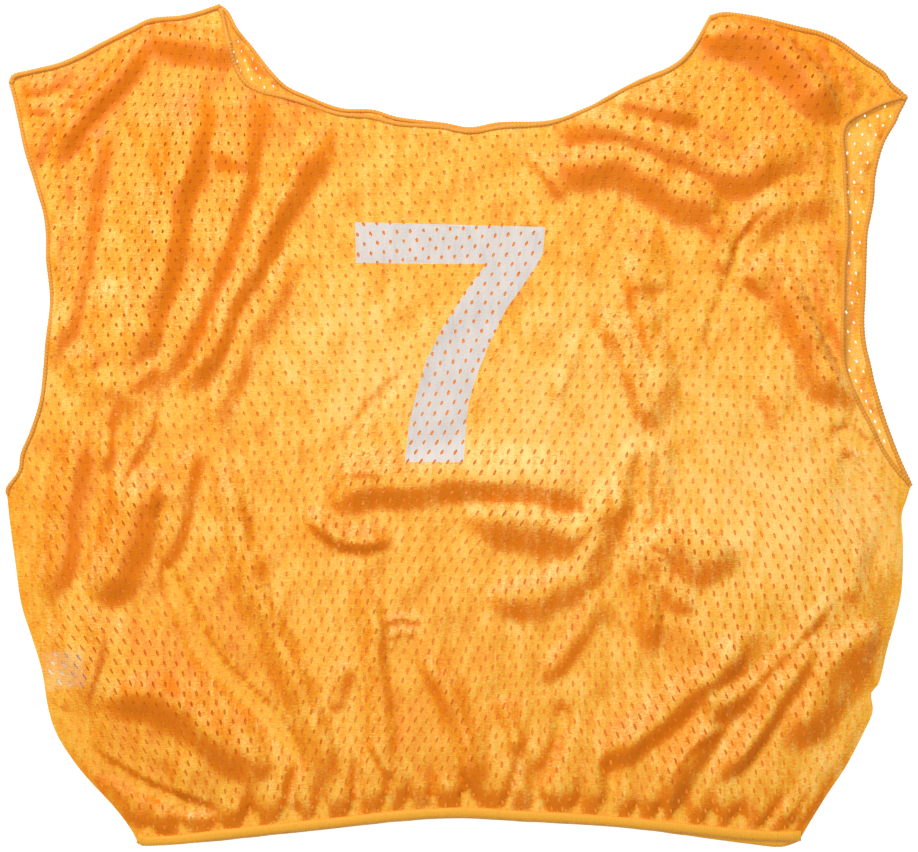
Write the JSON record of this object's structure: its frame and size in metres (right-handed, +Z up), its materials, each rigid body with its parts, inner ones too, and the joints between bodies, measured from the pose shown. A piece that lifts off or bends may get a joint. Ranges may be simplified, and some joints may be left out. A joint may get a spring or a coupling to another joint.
{
  "type": "mesh training bib",
  "caption": "Sleeveless mesh training bib laid flat, with a scooped neck, cut-away armholes, overlocked edges and an elastic gathered hem.",
  "frame": {"origin": "middle of the bib's underside, on the surface that it lies on", "axes": "+Z up, out of the bib's front; +Y towards the neck; +X towards the right of the picture, which is the wearer's left"},
  "size_m": [0.5664, 0.528, 0.0134],
  "materials": {
    "mesh_cloth": "warp-knitted polyester mesh with a soft sheen",
    "edge_thread": "overlock stitched polyester thread",
    "hem_elastic": "overlocked elastic band",
    "label_satin": "blank woven satin label"
  },
  "bodies": {
    "root": {"back_panel": "mesh_cloth", "front_panel": "mesh_cloth", "back_neck_edge": "edge_thread", "front_neck_edge": "edge_thread", "back_left_armhole_edge": "edge_thread", "back_right_armhole_edge": "edge_thread", "front_left_armhole_edge": "edge_thread", "front_right_armhole_edge": "edge_thread", "left_shoulder_seam": "edge_thread", "right_shoulder_seam": "edge_thread", "back_hem_band": "hem_elastic", "front_hem_band": "hem_elastic", "care_label": "label_satin"}
  },
  "joints": []
}
